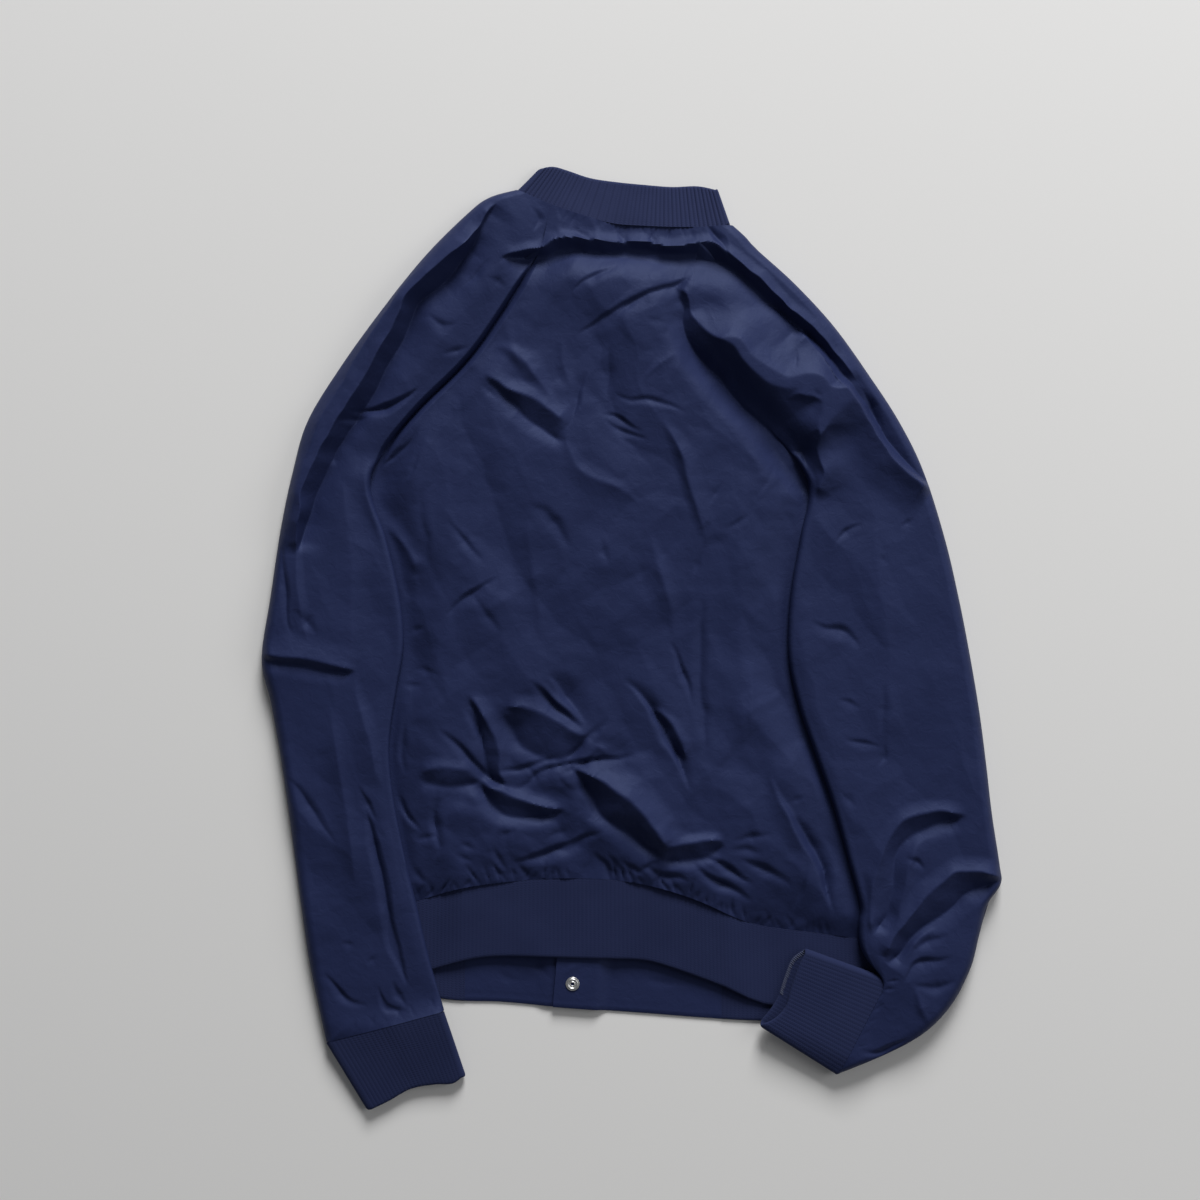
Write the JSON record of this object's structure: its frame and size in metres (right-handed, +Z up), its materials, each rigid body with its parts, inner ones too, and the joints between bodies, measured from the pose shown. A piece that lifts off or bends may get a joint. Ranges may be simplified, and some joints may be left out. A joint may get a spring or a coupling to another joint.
{
  "type": "bomber jacket",
  "caption": "Nylon bomber jacket with raglan sleeves and knitted rib collar, cuffs and waistband, laid flat on a table with its back up.",
  "frame": {"origin": "middle of the jacket's outline on the table it lies on", "axes": "+Z up from the table, +Y from the hem to the collar, +X to the right seen from above"},
  "size_m": [0.663, 0.8457, 0.0286],
  "materials": {
    "nylon": "navy woven nylon, crisp, with a soft sheen",
    "rib_knit": "navy rib knit, matte",
    "snap_metal": "plain nickel-coloured snap"
  },
  "bodies": {
    "root": {"back": "nylon", "front_left": "nylon", "front_right": "nylon", "sleeve_left": "nylon", "sleeve_right": "nylon", "collar": "rib_knit", "waistband": "rib_knit", "cuff_left": "rib_knit", "cuff_right": "rib_knit", "hem_tab_left": "nylon", "hem_tab_right": "nylon", "snap_cap_1": "snap_metal", "snap_ring_1": "snap_metal", "snap_cap_2": "snap_metal", "snap_ring_2": "snap_metal", "snap_cap_3": "snap_metal", "snap_ring_3": "snap_metal", "snap_cap_4": "snap_metal", "snap_ring_4": "snap_metal", "snap_cap_5": "snap_metal", "snap_ring_5": "snap_metal", "snap_cap_6": "snap_metal", "snap_ring_6": "snap_metal", "snap_cap_7": "snap_metal", "snap_ring_7": "snap_metal"}
  },
  "joints": []
}
